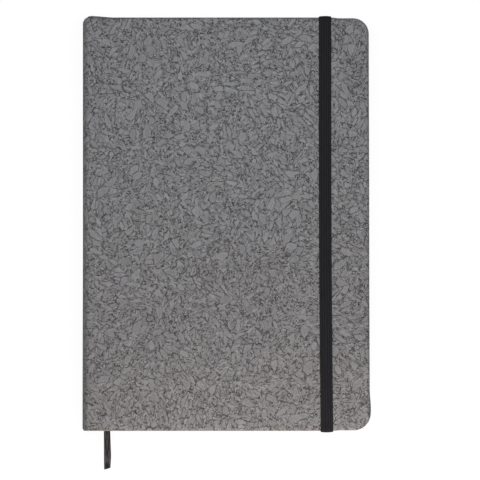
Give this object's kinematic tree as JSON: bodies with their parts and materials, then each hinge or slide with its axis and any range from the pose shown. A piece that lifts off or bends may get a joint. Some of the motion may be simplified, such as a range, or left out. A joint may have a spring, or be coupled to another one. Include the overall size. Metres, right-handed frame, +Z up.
{
  "type": "hardcover notebook",
  "caption": "Hardcover notebook in textured grey covering, with round fore-edge corners, an elastic closing strap and a ribbon marker; both covers open.",
  "frame": {"origin": "centre of the back cover's outer face, the face that the notebook lies on", "axes": "+Z up through the closed book, +X from the spine to the fore-edge, +Y from the tail to the head"},
  "size_m": [0.1456, 0.2303, 0.0169],
  "materials": {
    "pages": "matte",
    "endpaper": "matte",
    "lining": "matte",
    "band": "satin",
    "board": "matte",
    "covering": "matte",
    "ribbon": "satin",
    "elastic": "matte"
  },
  "bodies": {
    "book_block": {"text_block": "pages", "front_flyleaf": "endpaper", "back_flyleaf": "endpaper", "spine_lining": "lining", "head_band": "band", "tail_band": "band", "spine_card": "board", "spine_covering": "covering", "ribbon_marker": "ribbon"},
    "front_cover": {"front_board": "board", "front_covering": "covering", "front_pastedown": "endpaper"},
    "back_cover": {"back_board": "board", "back_covering": "covering", "back_pastedown": "endpaper", "elastic_strap": "elastic"}
  },
  "joints": [
    {"name": "front_cover_hinge", "type": "hinge", "parent": "book_block", "child": "front_cover", "pos_m": [-0.07275, 0, 0.01325], "axis": [0, -1, 0], "range_deg": [0, 180], "deforming": ["elastic_strap"]},
    {"name": "back_cover_hinge", "type": "hinge", "parent": "book_block", "child": "back_cover", "pos_m": [-0.07275, 0, 0.00315], "axis": [0, 1, 0], "range_deg": [0, 180], "deforming": ["elastic_strap"]}
  ]
}
